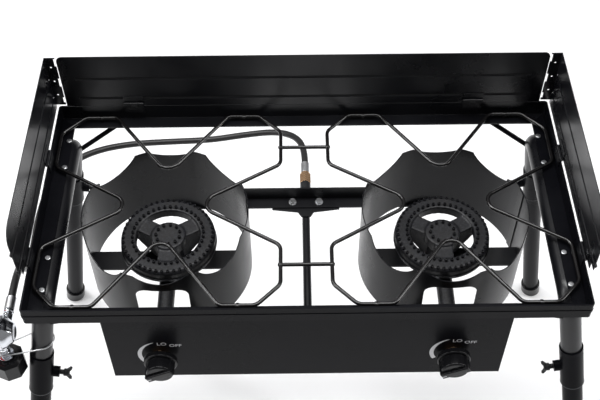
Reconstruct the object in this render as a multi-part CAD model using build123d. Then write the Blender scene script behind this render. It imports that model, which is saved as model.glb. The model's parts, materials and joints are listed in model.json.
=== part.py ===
from build123d import *
import math
import os

# Two-burner outdoor gas stove on four slip-in legs. Millimetres.
# The origin is on the ground under the middle of the top frame:
# +X to the user's right, +Y away from the user, +Z up.

# Top frame, welded from angle rails
frame_length = 810.0
frame_depth = 406.0
frame_corner = 5.0
cooking_height = 650.0
rail_height = 30.5
rail_ledge = 24.0
rail_sheet = 2.5
rail_bead = 0.8
rail_bead_height = 5.0
screw_radius = 2.4
screw_clearance = 0.1
frame_screw_places = (-148.0, -90.0, 90.0, 148.0)

# Burners, each in its own wind cup
burner_spacing = 436.0
burner_back = -8.0
burner_ring = 75.0
burner_ring_bore = 51.0
burner_ring_depth = 17.0
burner_hub = 27.0
burner_drop = 81.0
burner_spokes = 3
mixer_radius = 13.0
mixer_wall = 3.0
mixer_drop = 121.0
burner_seat_drop = 147.0
cup_radius = 130.0
cup_sheet = 1.5
cup_drop = 30.0
cup_floor_drop = 170.0
cup_slot = 80.0
strap_width = 36.0
strap_sheet = 3.0
burner_bolt_radius = 4.0
burner_lip = 1.5
spoke_width = 28.0
chamber_radius = 21.0
mixer_front = -158.0
jet_radius = 4.0
shutter_sheet = 1.5
shutter_gap = 0.3
port_radius = 3.0
port_circle = 8.2
cup_lap = 14.0
scallop_places = ((90, 78, 14), (270, 78, 14), (44, 87, 26), (136, 87, 26), (224, 87, 26), (316, 87, 26))
cup_tab_spacing = 120.0
cup_tab_width = 24.0
cup_tab_sheet = 2.5

# Grate, bent from round wire
wire_radius = 3.0
grate_drop = 20.0
grate_half_length = 180.0
grate_inset = 15.0
grate_back = 5.0
grate_rail_inner = 92.0
grate_rail_outer = 145.0
grate_side_inner = 81.0
grate_side_outer = 152.0
grate_lobe_x = 47.0
grate_lobe_y = 62.0
link_back = (122.0, -112.0)

# Front panel, valves and knobs
panel_length = 591.0
panel_bottom_drop = 181.0
panel_sheet = 1.5
panel_return = 14.0
knob_drop = 120.0
knob_radius = 25.0
knob_skirt = 8.0
knob_grip_inset = 5.0
knob_height = 26.0
knob_bar_width = 12.0
knob_bar_turn = 62.0
knob_gap = 1.0
stem_radius = 3.0
turning_clearance = 0.05
valve_radius = 12.0
valve_neck = 8.5
valve_y = -178.0
neck_reach = 9.0
nut_across = 24.0
nut_height = 4.5
jet_start = -169.0
panel_screws = (-250.0, 0.0, 250.0)
panel_screw_radius = 2.0
panel_screw_inset = 9.0

# Gas pipes and the rear crossbar
pipe_radius = 6.75
pipe_side = 3.0
manifold_radius = 7.0
manifold_drop = 150.0
bar_sheet = 2.5
bar_overlap = 12.0
bar_width = 23.0
bar_length = 480.0
bar_rise = 26.0
bar_bolt_spacing = 46.0
tee_length = 117.0
tee_radius = 10.0
bar_bolt_radius = 3.0
pipe_reach = 17.0
coupling_radius = 9.5
coupling_reach = 23.0
flare_nut_length = 25.0
crimp_radius = 7.8
rear_crimp_length = 23.0

# Bent side tubes, sockets and lower legs
tube_radius = 16.0
tube_wall = 1.5
elbow_inset = 19.0
elbow_back = 162.0
elbow_radius = 34.0
leg_splay_x = 0.19
leg_splay_y = 0.178
stub_length = 123.0
socket_start = 104.0
socket_end = 187.0
socket_wall = 2.0
socket_clearance = 0.25
leg_gap = 2.0
foot_radius = 19.5
foot_height = 34.0
brace_radius = 4.0
brace_side = 314.0
brace_reach = 38.0
bolt_radius = 4.0
nut_boss = 8.5
nut_reach = 10.0
wing_hub = 6.0
wing_span = 28.0
wing_width = 10.5
wing_sheet = 3.2

# Folding wind screen
screen_top = 110.0
screen_sheet = 1.2
screen_gap = 1.5
screen_front = -154.0
screen_bead = 4.0
side_bead_heights = (65.0, 25.0)
back_bead_heights = (63.0, 20.0)
back_bead_inset = 22.0
corner_flange = 16.0
corner_gap = 0.7
flange_rise = 7.5
corner_slots = ((92.0, 108.0), (48.0, 66.0), (12.0, 24.0))
slot_depth = 2.5
flange_holes = (30.0, 60.0, 90.0)
hinge_radius = 2.5
hinge_length = 32.0
pin_radius = 1.0
pin_bore = 1.05
knuckle_gap = 0.3
leaf_sheet = 1.2
leaf_low = 4.0
leaf_high = 15.0
fixed_leaf_drop = 14.0
side_axis_rise = 3.2
back_axis_rise = 8.5
side_hinges = (83.0, -110.0)
back_hinges = 280.0

# Regulator, hose and its fittings
regulator_place = (-446.0, -186.0, -80.0)
regulator_radius = 27.0
regulator_width = 30.0
wheel_place = (-453.0, -194.0, -149.0)
wheel_radius = 25.0
wheel_height = 35.0
outlet_start = 39.0
outlet_end = 61.0
neck_radius = 8.0
nipple_radius = 5.5
spindle_radius = 6.0
regulator_knob_radius = 19.0
tie_wire_radius = 1.0
tie_wire_drop = 118.0
hose_radius = 6.0

top = cooking_height
half_length = frame_length / 2
half_depth = frame_depth / 2
ledge_top = top - rail_height + rail_sheet
ledge_under = top - rail_height
burner_x = burner_spacing / 2
panel_face = -half_depth
panel_screw_y = panel_face + panel_screw_inset
bar_front = cup_radius - bar_overlap
bar_back = bar_front + bar_width
pipe_drop = cup_floor_drop + 2 * bar_sheet + pipe_radius
pipe_end = bar_back + pipe_reach
coupling_end = pipe_end + coupling_reach
nut_end = coupling_end + flare_nut_length
crimp_end = nut_end + rear_crimp_length
elbow_side = half_length - elbow_inset
elbow_drop = rail_height + tube_radius
grate_half_depth = half_depth - grate_inset
grate_joint = (grate_rail_inner + grate_rail_outer) / 2
nut_station = (socket_start + socket_end) / 2
side_inner = half_length + hinge_radius
side_axis_x = half_length
side_rear = half_depth - 4.0
back_inner = side_rear + 0.5
back_axis_y = back_inner - hinge_radius
back_half = side_inner - corner_flange - corner_gap
corners = (("front_left", -1, -1), ("front_right", 1, -1), ("back_left", -1, 1), ("back_right", 1, 1))


def write(name, shape):
    export_step(shape, "parts/" + name + ".step")


def rod(start, direction, radius, length):
    """A round bar from a point along a direction."""
    plane = Plane(origin=start, z_dir=direction)
    return extrude(plane * Circle(radius), length)


def tube(start, direction, radius, bore, length):
    plane = Plane(origin=start, z_dir=direction)
    return extrude(plane * (Circle(radius) - Circle(bore)), length)


def block(low, high):
    size = [b - a for a, b in zip(low, high)]
    middle = [(a + b) / 2 for a, b in zip(low, high)]
    return Pos(*middle) * Box(*size)


def hexagon(start, direction, across, length):
    plane = Plane(origin=start, z_dir=direction)
    return extrude(plane * RegularPolygon(across / 2, 6, major_radius=False), length)


# ---- top frame ----

def rail_ring():
    """All four rails in one piece: an upright flange, its pressed bead and the inner ledge."""
    outside = RectangleRounded(frame_length, frame_depth, frame_corner)
    flange_inside = RectangleRounded(
        frame_length - 2 * rail_sheet, frame_depth - 2 * rail_sheet, frame_corner - rail_sheet)
    ledge_inside = Rectangle(frame_length - 2 * rail_ledge, frame_depth - 2 * rail_ledge)
    proud = RectangleRounded(
        frame_length + 2 * rail_bead, frame_depth + 2 * rail_bead, frame_corner + rail_bead)
    flange = extrude(Pos(0, 0, ledge_under) * (outside - flange_inside), rail_height)
    ledge = extrude(Pos(0, 0, ledge_under) * (outside - ledge_inside), rail_sheet)
    bead_base = top - rail_height / 2 - rail_bead_height / 2
    bead = extrude(Pos(0, 0, bead_base) * (proud - outside), rail_bead_height)
    return flange + ledge + bead


def rail_holes(ring):
    for side in (-1, 1):
        for y in frame_screw_places:
            ring -= rod((side * elbow_side, y, ledge_under - 1), (0, 0, 1), screw_radius + screw_clearance, 6)
    for x in panel_screws:
        ring -= rod((x, panel_screw_y, ledge_under - 1), (0, 0, 1), panel_screw_radius + screw_clearance, 6)
    return ring


def mitre_zone(side, lengthways):
    """The part of the frame's plan that belongs to one rail, cut at 45 degrees."""
    x = half_length + 10
    y = half_depth + 10
    inner = rail_ledge + 30
    if lengthways:
        outline = Polyline((-x, side * y), (x, side * y), (x - inner, side * (y - inner)),
                           (-x + inner, side * (y - inner)), close=True)
    else:
        outline = Polyline((side * x, -y), (side * x, y), (side * (x - inner), y - inner),
                           (side * (x - inner), -y + inner), close=True)
    return extrude(Pos(0, 0, top - 60) * make_face(outline), 80)


def build_rails():
    ring = rail_holes(rail_ring())
    for name, side, lengthways in (("front_rail", -1, True), ("back_rail", 1, True),
                                   ("left_rail", -1, False), ("right_rail", 1, False)):
        write(name, ring & mitre_zone(side, lengthways))


def build_frame_screws():
    """Pan-head screws through the side ledges into the bent tubes, and through the panel's top."""
    screws = []
    for side in (-1, 1):
        for y in frame_screw_places:
            head = rod((side * elbow_side, y, ledge_top), (0, 0, 1), 4.5, 2.4)
            head = fillet(head.edges().group_by(Axis.Z)[-1], 1.2)
            screws.append(head + rod((side * elbow_side, y, ledge_top - 8), (0, 0, 1), screw_radius, 9))
    for x in panel_screws:
        head = rod((x, panel_screw_y, ledge_top), (0, 0, 1), 4.0, 2.2)
        head = fillet(head.edges().group_by(Axis.Z)[-1], 1.0)
        screws.append(head + rod((x, panel_screw_y, ledge_top - 8), (0, 0, 1), panel_screw_radius, 9))
    write("frame_screws", Compound(screws))


# ---- front panel ----

def build_front_panel():
    x = panel_length / 2
    low = top - panel_bottom_drop
    back = panel_face + panel_return
    shell = block((-x, panel_face, low), (x, back, ledge_under))
    inside = block((-x + panel_sheet, panel_face + panel_sheet, low + panel_sheet),
                   (x - panel_sheet, back + 1, ledge_under - panel_sheet))
    shell -= inside
    for side in (-1, 1):
        shell -= rod((side * burner_x, panel_face - 1, top - knob_drop), (0, 1, 0), valve_neck + 0.1, 5)
    for screw in panel_screws:
        shell -= rod((screw, panel_screw_y, ledge_under - 4), (0, 0, 1),
                     panel_screw_radius + screw_clearance, 6)
    write("front_panel", shell)


# ---- wind cups, straps and burners ----

def cup_scallop(angle, width, depth):
    """A round-bottomed bite out of the cup's top edge."""
    half = width / 2
    radius = (half * half + depth * depth) / (2 * depth)
    height = top - cup_drop - depth + radius
    direction = (math.cos(math.radians(angle)), math.sin(math.radians(angle)), 0)
    return rod((0, 0, height), direction, radius, cup_radius + 20)


def wind_cup(side):
    height = cup_floor_drop - cup_drop
    base = (0, 0, top - cup_floor_drop)
    cup = tube(base, (0, 0, 1), cup_radius, cup_radius - cup_sheet, height)
    seam = tube(base, (0, 0, 1), cup_radius - cup_sheet, cup_radius - 2 * cup_sheet, height)
    lap_zone = Rot(0, 0, 14) * block((60, -cup_lap / 2, base[2] - 10), (200, cup_lap / 2, top))
    cup += seam & lap_zone
    for angle, width, depth in scallop_places:
        cup -= cup_scallop(angle, width, depth)
    slot = block((-cup_slot / 2, -cup_radius - 10, base[2] - 10), (cup_slot / 2, 0, top - 2 * cup_drop))
    slot = fillet(slot.edges().filter_by(Axis.Y).group_by(Axis.Z)[-1], cup_slot / 4)
    return Pos(side * burner_x, 0, 0) * (cup - slot)


def burner_strap(side):
    """A flat bar across the cup that carries the burner; its ends follow the cup's wall."""
    z = top - burner_seat_drop
    reach = cup_radius - cup_sheet - 0.05
    bar = block((-reach, burner_back - strap_width / 2, z - strap_sheet),
                (reach, burner_back + strap_width / 2, z))
    bar &= rod((0, 0, z - 20), (0, 0, 1), reach, 40)
    bar -= rod((0, burner_back, z - 10), (0, 0, 1), burner_bolt_radius + 0.15, 20)
    return Pos(side * burner_x, 0, 0) * bar


def spoke(angle):
    """One hollow-cast arm from the mixing chamber up to the ring, seen as a web."""
    ring_under = top - burner_drop - burner_ring_depth
    outline = Polyline((10, top - burner_seat_drop + 14), (24, top - burner_seat_drop + 14),
                       (burner_ring - 8, ring_under), (burner_ring - 8, ring_under + 6),
                       (burner_ring_bore + 4, top - burner_drop - 3), (10, top - burner_drop - 3),
                       close=True)
    web = extrude(Plane.XZ * make_face(outline), spoke_width / 2, both=True)
    return Rot(0, 0, angle) * web


def burner(side):
    """Ring, hub, three arms, chamber and mixer tube, cast in one piece."""
    head_top = top - burner_drop
    ring = tube((0, 0, head_top - burner_ring_depth), (0, 0, 1),
                burner_ring, burner_ring_bore, burner_ring_depth)
    ring = chamfer(ring.edges().group_by(Axis.Z)[-1].sort_by(SortBy.RADIUS)[-1], 4)
    lip = tube((0, 0, head_top - burner_ring_depth - 3), (0, 0, 1),
               burner_ring + burner_lip, burner_ring_bore + 4, 4)
    hub = rod((0, 0, head_top - 20), (0, 0, 1), burner_hub, 20)
    chamber = rod((0, 0, top - burner_seat_drop), (0, 0, 1), chamber_radius,
                  burner_seat_drop - burner_drop - 5)
    body = ring + lip + hub + chamber
    for arm in range(burner_spokes):
        body += spoke(270 + arm * 360 / burner_spokes)
    body = Pos(side * burner_x, burner_back, 0) * body
    axis = (side * burner_x, mixer_front, top - mixer_drop)
    length = burner_back - mixer_front
    body += rod(axis, (0, 1, 0), mixer_radius, length)
    body += rod(axis, (0, 1, 0), mixer_radius + 3, 8)
    body -= rod((axis[0], mixer_front + 3, axis[2]), (0, 1, 0), mixer_radius - mixer_wall, length - 6)
    body -= rod((axis[0], mixer_front - 1, axis[2]), (0, 1, 0), jet_radius + 0.5, 10)
    body -= air_windows(side, mixer_front - 1, 5)
    body -= rod((side * burner_x, burner_back, top - burner_seat_drop - 1), (0, 0, 1),
                burner_bolt_radius, 13)
    return body


def air_windows(side, y, length):
    """Three round air ports beside the gas jet."""
    ports = []
    for turn in range(3):
        angle = math.radians(90 + 120 * turn)
        x = side * burner_x + port_circle * math.cos(angle)
        z = top - mixer_drop + port_circle * math.sin(angle)
        ports.append(rod((x, y, z), (0, 1, 0), port_radius, length))
    return Compound(ports)


def air_shutter(side):
    """A disc in front of the mixer's mouth that turns on the jet to open or close the air ports."""
    axis = (side * burner_x, mixer_front - shutter_gap - shutter_sheet, top - mixer_drop)
    disc = rod(axis, (0, 1, 0), mixer_radius + 5, shutter_sheet)
    disc += block((axis[0] - 4, axis[1], axis[2] + mixer_radius + 3),
                  (axis[0] + 4, axis[1] + shutter_sheet, axis[2] + mixer_radius + 11))
    disc -= rod((axis[0], axis[1] - 1, axis[2]), (0, 1, 0), jet_radius + turning_clearance, 5)
    return disc - air_windows(side, axis[1] - 1, 5)


def build_burners():
    straps = []
    bolts = []
    for name, side in (("left", -1), ("right", 1)):
        write(name + "_wind_cup", wind_cup(side))
        write(name + "_burner", burner(side))
        write(name + "_air_shutter", air_shutter(side))
        straps.append(burner_strap(side))
        z = top - burner_seat_drop - strap_sheet
        bolt = hexagon((side * burner_x, burner_back, z - 5.3), (0, 0, 1), 13, 5.3)
        bolts.append(bolt + rod((side * burner_x, burner_back, z - 1), (0, 0, 1),
                                burner_bolt_radius - 0.1, strap_sheet + 12))
    write("burner_straps", Compound(straps))
    return bolts


def build_cup_brackets():
    """Four angle tabs that carry the cups' front edges from the back of the panel."""
    z = top - cup_floor_drop
    tabs = []
    for side in (-1, 1):
        for offset in (-cup_tab_spacing / 2, cup_tab_spacing / 2):
            x = side * burner_x + offset
            half = cup_tab_width / 2
            back = panel_face + panel_sheet
            tab = block((x - half, back, z - cup_tab_sheet), (x + half, 30 - cup_radius, z))
            tab += block((x - half, back, z - cup_tab_sheet), (x + half, back + cup_tab_sheet, z + 22))
            tabs.append(tab)
    write("cup_brackets", Compound(tabs))


# ---- gas train ----

def build_valves():
    """Brass valve bodies standing on the manifold, their jets, neck nuts, stems and knobs."""
    z = top - knob_drop
    jets = []
    nuts = []
    for name, side in (("left", -1), ("right", 1)):
        x = side * burner_x
        back = panel_face + panel_sheet
        body = rod((x, back, z), (0, 1, 0), valve_radius, jet_start - back)
        body += rod((x, back - neck_reach, z), (0, 1, 0), valve_neck, neck_reach + 1)
        body += rod((x, valve_y, top - manifold_drop), (0, 0, 1), 5.0, manifold_drop - knob_drop)
        manifold_zone = rod((x - 30, valve_y, top - manifold_drop), (1, 0, 0), manifold_radius, 60)
        body -= manifold_zone
        body -= rod((x, back - 10, z), (0, 1, 0), stem_radius + turning_clearance, 26)
        write(name + "_valve", body)
        nut = hexagon((x, panel_face - nut_height, z), (0, 1, 0), nut_across, nut_height)
        nut -= rod((x, panel_face - 10, z), (0, 1, 0), valve_neck + 0.05, 20)
        nuts.append(nut)
        jet = rod((x, jet_start, z - (mixer_drop - knob_drop)), (0, 1, 0), jet_radius,
                  mixer_front + 6 - jet_start)
        jet += hexagon((x, jet_start, z - (mixer_drop - knob_drop)), (0, 1, 0), 11, 4)
        jets.append(jet)
        build_knob(name, x, z)
    write("gas_jets", Compound(jets))
    write("valve_nuts", Compound(nuts))


def build_knob(name, x, z):
    """A round skirt and grip with a raised bar across it, on its own stem."""
    back = panel_face + panel_sheet - neck_reach - knob_gap
    skirt = rod((x, back, z), (0, -1, 0), knob_radius, knob_skirt)
    skirt = fillet(skirt.edges().group_by(Axis.Y)[0], 2)
    grip = rod((x, back, z), (0, -1, 0), knob_radius - knob_grip_inset, knob_height)
    grip = fillet(grip.edges().group_by(Axis.Y)[0], 3)
    half = knob_bar_width / 2
    reach = knob_radius - 3
    bar = block((-half, -knob_height - 4, -reach), (half, -6, reach))
    bar = fillet(bar.edges().group_by(Axis.Y)[0], 2)
    bar = Pos(x, back, z) * Rot(0, knob_bar_turn, 0) * bar
    bore = rod((x, back + 1, z), (0, -1, 0), stem_radius, 17)
    write(name + "_knob", skirt + grip + bar - bore)
    write(name + "_stem", rod((x, back - 16, z), (0, 1, 0), stem_radius, 30))


def build_pipes():
    """Manifold, tee block and the supply pipe that also carries the rear crossbar."""
    z = top - manifold_drop
    low = top - pipe_drop
    manifold = rod((-burner_x - 12, valve_y, z), (1, 0, 0), manifold_radius, burner_spacing + 24)
    tee = rod((pipe_side, valve_y, low - tee_radius), (0, 0, 1), tee_radius, z - low + 2 * tee_radius)
    manifold += tee
    write("gas_manifold", manifold)
    pipe = rod((pipe_side, valve_y, low), (0, 1, 0), pipe_radius, pipe_end - valve_y)
    write("supply_pipe", pipe - tee)
    bar_top = top - cup_floor_drop
    bar = block((-bar_length / 2, bar_front, bar_top - bar_sheet), (bar_length / 2, bar_back, bar_top))
    bar += block((-bar_length / 2, bar_back - bar_sheet, bar_top - bar_sheet),
                 (bar_length / 2, bar_back, bar_top + bar_rise))
    plate = Polyline((pipe_side - tee_length / 2, bar_back), (pipe_side + tee_length / 2, bar_back),
                     (pipe_side + tee_length / 2, bar_front - 2), (pipe_side + 14, bar_front - 8),
                     (pipe_side + 8, bar_front - 18), (pipe_side - 8, bar_front - 18),
                     (pipe_side - 14, bar_front - 8), (pipe_side - tee_length / 2, bar_front - 2),
                     close=True)
    tee_plate = extrude(Pos(0, 0, bar_top - 2 * bar_sheet) * make_face(plate), bar_sheet)
    bolts = []
    for side in (-1, 1):
        place = (pipe_side + side * bar_bolt_spacing / 2, (bar_front + bar_back) / 2)
        hole = rod((place[0], place[1], bar_top - 10), (0, 0, 1), bar_bolt_radius + 0.2, 20)
        bar -= hole
        tee_plate -= hole
        bolts.append(bar_bolt(place, bar_top))
    write("crossbar", bar)
    write("tee_plate", tee_plate)
    return bolts


def bar_bolt(place, bar_top):
    """Washer and hex bolt on top of the bar, with a nut under the plate."""
    x, y = place
    bolt = rod((x, y, bar_top), (0, 0, 1), 7.0, 1.2)
    bolt += hexagon((x, y, bar_top + 1.2), (0, 0, 1), 10, 4)
    bolt += rod((x, y, bar_top - 14), (0, 0, 1), bar_bolt_radius, 16)
    bolt += hexagon((x, y, bar_top - 2 * bar_sheet - 5), (0, 0, 1), 10, 5)
    return bolt


def build_inlet():
    """Coupling, brass flare nut and the hose's crimp behind the crossbar."""
    z = top - pipe_drop
    coupling = rod((pipe_side, bar_back + 2, z), (0, 1, 0), coupling_radius, coupling_end - bar_back - 2)
    coupling -= rod((pipe_side, bar_back, z), (0, 1, 0), pipe_radius, pipe_end - bar_back)
    write("pipe_coupling", coupling)
    nut = hexagon((pipe_side, coupling_end, z), (0, 1, 0), 19, nut_end - coupling_end - 5)
    nut += rod((pipe_side, coupling_end, z), (0, 1, 0), 8, nut_end - coupling_end)
    write("flare_nut", nut)
    write("rear_crimp", rod((pipe_side, nut_end, z), (0, 1, 0), crimp_radius, crimp_end - nut_end))


# ---- side tubes, sockets, legs ----

def leg_direction(sx, sy):
    return Vector(sx * leg_splay_x, sy * leg_splay_y, -1).normalized()


def elbow(sx, sy):
    return Vector(sx * elbow_side, sy * elbow_back, top - elbow_drop)


def inward(sx, sy):
    """The direction across a leg that points towards the middle of the stove."""
    direction = leg_direction(sx, sy)
    across = Vector(-sx, 0, 0)
    return (across - direction * across.dot(direction)).normalized()


def side_tube(sx):
    front = elbow(sx, -1) + leg_direction(sx, -1) * stub_length
    back = elbow(sx, 1) + leg_direction(sx, 1) * stub_length
    path = FilletPolyline(front, elbow(sx, -1), elbow(sx, 1), back, radius=elbow_radius)
    plane = Plane(origin=front, z_dir=leg_direction(sx, -1) * -1)
    bent = sweep(plane * (Circle(tube_radius) - Circle(tube_radius - tube_wall)), path=path)
    for y in frame_screw_places:
        bent -= rod((sx * elbow_side, y, ledge_under - 12), (0, 0, 1), screw_radius + screw_clearance, 13)
    return bent


def leg_socket(sx, sy):
    """A sleeve welded round the end of the bent tube, with a nut for the wing bolt."""
    direction = leg_direction(sx, sy)
    bore = tube_radius + socket_clearance
    start = elbow(sx, sy) + direction * socket_start
    length = socket_end - socket_start
    sleeve = rod(start, direction, bore + socket_wall, length)
    nut_place = elbow(sx, sy) + direction * nut_station
    sleeve += rod(nut_place, inward(sx, sy), nut_boss, bore + socket_wall + nut_reach)
    sleeve -= rod(start - direction, direction, bore, length + 2)
    sleeve -= rod(nut_place, inward(sx, sy), bolt_radius, bore + socket_wall + nut_reach + 5)
    return sleeve


def wing_bolt(sx, sy):
    across = inward(sx, sy)
    place = elbow(sx, sy) + leg_direction(sx, sy) * nut_station
    shank_start = tube_radius + 0.3
    head_start = tube_radius + socket_clearance + socket_wall + nut_reach + 6
    bolt = rod(place + across * shank_start, across, bolt_radius - turning_clearance,
               head_start - shank_start)
    bolt += rod(place + across * head_start, across, wing_hub, 9)
    along = leg_direction(sx, sy)
    plane = Plane(origin=place + across * (head_start + 7), x_dir=along, z_dir=along.cross(across))
    return bolt + extrude(plane * SlotOverall(wing_span, wing_width), wing_sheet / 2, both=True)


def lower_leg(sx, sy):
    direction = leg_direction(sx, sy)
    start = elbow(sx, sy) + direction * (stub_length + leg_gap)
    floor_station = (top - elbow_drop) / abs(direction.Z)
    length = floor_station - 10 - stub_length - leg_gap
    return tube(start, direction, tube_radius, tube_radius - tube_wall, length)


def foot(sx, sy):
    """A moulded cap on the leg's end, flat where it stands."""
    direction = leg_direction(sx, sy)
    floor_station = (top - elbow_drop) / abs(direction.Z)
    start = elbow(sx, sy) + direction * (floor_station - foot_height)
    cap = rod(start, direction, foot_radius, foot_height + 20)
    cap = chamfer(cap.edges().group_by(Axis.Z)[-1], 1.5)
    cap -= rod(start - direction, direction, tube_radius, foot_height - 10 + 1)
    return cap - block((-900, -900, -200), (900, 900, 0))


def brace(sx, sy):
    """A bent rod from under the long rail out to the leg."""
    y = sy * (half_depth - 14)
    z = ledge_under - brace_radius
    tip = elbow(sx, sy) + leg_direction(sx, sy) * brace_reach
    corner = Vector(sx * brace_side, y, z)
    start = Vector(sx * (brace_side - 14), y, z)
    path = FilletPolyline(start, corner, tip, radius=10)
    bar = sweep(Plane(origin=start, z_dir=(sx, 0, 0)) * Circle(brace_radius), path=path)
    solid_tube = rod(elbow(sx, sy), leg_direction(sx, sy), tube_radius, stub_length)
    bar -= solid_tube
    return max(bar.solids(), key=lambda piece: piece.volume)


def build_legs():
    write("left_side_tube", side_tube(-1))
    write("right_side_tube", side_tube(1))
    write("leg_sockets", Compound([leg_socket(sx, sy) for name, sx, sy in corners]))
    write("leg_braces", Compound([brace(sx, sy) for name, sx, sy in corners]))
    for name, sx, sy in corners:
        write(name + "_wing_bolt", wing_bolt(sx, sy))
        write(name + "_leg", lower_leg(sx, sy))
        write(name + "_foot", foot(sx, sy))


# ---- grate ----

def quarter_bends(sx, sy):
    """A quarter loop's bends with their radii, from the long rail round to the side lobe."""
    bends = (((grate_rail_outer, grate_half_depth), 18), ((grate_half_length, grate_side_outer), 18),
             ((grate_half_length, grate_side_inner), 16))
    return [((sx * x, sy * y), radius) for (x, y), radius in bends]


def wire_run(side, bends, start, end):
    """A bent wire at the grate's height, from one straight run to another."""
    def place(x, y):
        return Vector(side * burner_x + x, grate_back + y, top - grate_drop)
    places = [place(*start)] + [place(*point) for point, radius in bends] + [place(*end)]
    path = FilletPolyline(*places, radius=[radius for point, radius in bends])
    section = Plane(origin=places[0], z_dir=places[1] - places[0]) * Circle(wire_radius)
    return sweep(section, path=path)


def grate(side):
    """Two round halves and two lobes, butt-welded on the long rails above the feet."""
    loop = None
    for sx in (-1, 1):
        bends = quarter_bends(sx, 1) + [((sx * grate_lobe_x, 0), 20)] + quarter_bends(sx, -1)[::-1]
        half = wire_run(side, bends, (sx * grate_joint, grate_half_depth),
                        (sx * grate_joint, -grate_half_depth))
        loop = half if loop is None else loop + half
    for sy in (-1, 1):
        bends = [((-grate_rail_inner, sy * grate_half_depth), 14), ((0, sy * grate_lobe_y), 20),
                 ((grate_rail_inner, sy * grate_half_depth), 14)]
        loop += wire_run(side, bends, (-grate_joint, sy * grate_half_depth),
                         (grate_joint, sy * grate_half_depth))
        for sx in (-1, 1):
            x = side * burner_x + sx * grate_joint
            y = grate_back + sy * grate_half_depth
            loop += rod((x, y, ledge_top), (0, 0, 1), wire_radius - 0.4, top - grate_drop - ledge_top)
    return loop


def build_grates():
    write("left_grate", grate(-1))
    write("right_grate", grate(1))
    reach = burner_x - grate_half_length - wire_radius
    links = []
    for y in link_back:
        z = top - grate_drop
        links.append(rod((-reach, y, z), (1, 0, 0), wire_radius, 2 * reach))
    write("grate_links", Compound(links))


# ---- wind screen ----

def pressed_bead(start, direction, length, end_wall):
    """The outside and the hollow of a half-round bead pressed into a sheet."""
    outside = rod(start, direction, screen_bead, length)
    hollow_start = Vector(*start) + Vector(*direction) * end_wall
    hollow = rod(hollow_start, direction, screen_bead - screen_sheet, length - 2 * end_wall)
    return outside, hollow


def hinge_barrel(place, direction, part):
    """Knuckles of a three-knuckle hinge: the middle one, or the two outer ones."""
    third = hinge_length / 3
    axis = Vector(*direction)
    middle = Vector(*place)
    if part == "middle":
        length = third - 2 * knuckle_gap
        return tube(middle - axis * (length / 2), axis, hinge_radius, pin_bore, length)
    low = tube(middle - axis * (1.5 * third), axis, hinge_radius, pin_bore, third)
    high = tube(middle + axis * (0.5 * third), axis, hinge_radius, pin_bore, third)
    return low + high


def leaf(place, direction, low, high, part):
    """A leaf as long as its knuckles; low and high are its section's corners from the hinge axis."""
    spans = ((-0.5, -1 / 6), (1 / 6, 0.5)) if part == "outer" else ((-1 / 6, 1 / 6),)
    gap = 0.0 if part == "outer" else knuckle_gap
    pieces = []
    for a, b in spans:
        first = a * hinge_length + gap
        last = b * hinge_length - gap
        if direction == "y":
            pieces.append(block((place[0] + low[0], place[1] + first, place[2] + low[1]),
                                (place[0] + high[0], place[1] + last, place[2] + high[1])))
        else:
            pieces.append(block((place[0] + first, place[1] + low[0], place[2] + low[1]),
                                (place[0] + last, place[1] + high[0], place[2] + high[1])))
    return pieces


def side_screen(side):
    """A side panel with two open-ended beads, a corner flange and its hinge leaves."""
    x0 = side * side_inner
    x1 = side * (side_inner + screen_sheet)
    low_x = min(x0, x1)
    high_x = max(x0, x1)
    panel = block((low_x, screen_front, top + screen_gap), (high_x, side_rear, top + screen_top))
    front_top = panel.edges().filter_by(Axis.X).group_by(Axis.Z)[-1].sort_by(Axis.Y)[0]
    panel = fillet(front_top, 25)
    notch = block((low_x - 1, screen_front - 1, top + screen_gap - 1),
                  (high_x + 1, screen_front + 14, top + 16))
    panel -= notch
    flange_x = side * (side_inner - corner_flange)
    flange = block((min(flange_x, x1), side_rear - screen_sheet, top + flange_rise),
                   (max(flange_x, x1), side_rear, top + screen_top))
    for low, high in corner_slots:
        slot_x = side * (side_inner - corner_flange + slot_depth)
        flange -= block((min(slot_x, flange_x) - 0.01, side_rear - 3, top + low),
                        (max(slot_x, flange_x) + 0.01, side_rear + 1, top + high))
    panel += flange
    outer_zone = block((min(x0, side * (side_inner + 9)), screen_front - 5, top),
                       (max(x0, side * (side_inner + 9)), side_rear - screen_sheet, top + 150))
    for height in side_bead_heights:
        start = (side * side_inner, screen_front, top + height)
        outside, hollow = pressed_bead(start, (0, 1, 0), side_rear - screen_sheet - screen_front, 0.0)
        panel += outside & outer_zone
        panel -= hollow
    for height in flange_holes:
        panel -= rod((side * (side_inner - 7), side_rear - 5, top + height), (0, 1, 0), 1.6, 10)
    return Compound([panel] + [moving_leaf_side(side, y) for y in side_hinges])


def moving_leaf_side(side, y):
    place = (side * side_axis_x, y, top + side_axis_rise)
    barrel = hinge_barrel(place, (0, 1, 0), "middle")
    low = side * (hinge_radius - leaf_sheet)
    high = side * hinge_radius
    pieces = leaf(place, "y", (min(low, high), 0), (max(low, high), leaf_high), "middle")
    wide = block((place[0] + min(low, high), y - hinge_length / 2, place[2] + leaf_low),
                 (place[0] + max(low, high), y + hinge_length / 2, place[2] + leaf_high))
    bore = rod((place[0], y - 20, place[2]), (0, 1, 0), pin_bore, 40)
    return barrel + pieces[0] + wide - bore


def moving_leaf_back(x):
    place = (x, back_axis_y, top + back_axis_rise)
    barrel = hinge_barrel(place, (1, 0, 0), "middle")
    pieces = leaf(place, "x", (hinge_radius - leaf_sheet, 0), (hinge_radius, leaf_high), "middle")
    wide = block((x - hinge_length / 2, back_axis_y + hinge_radius - leaf_sheet, place[2] + leaf_low),
                 (x + hinge_length / 2, back_axis_y + hinge_radius, place[2] + leaf_high))
    bore = rod((x - 20, back_axis_y, place[2]), (1, 0, 0), pin_bore, 40)
    return barrel + pieces[0] + wide - bore


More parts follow.
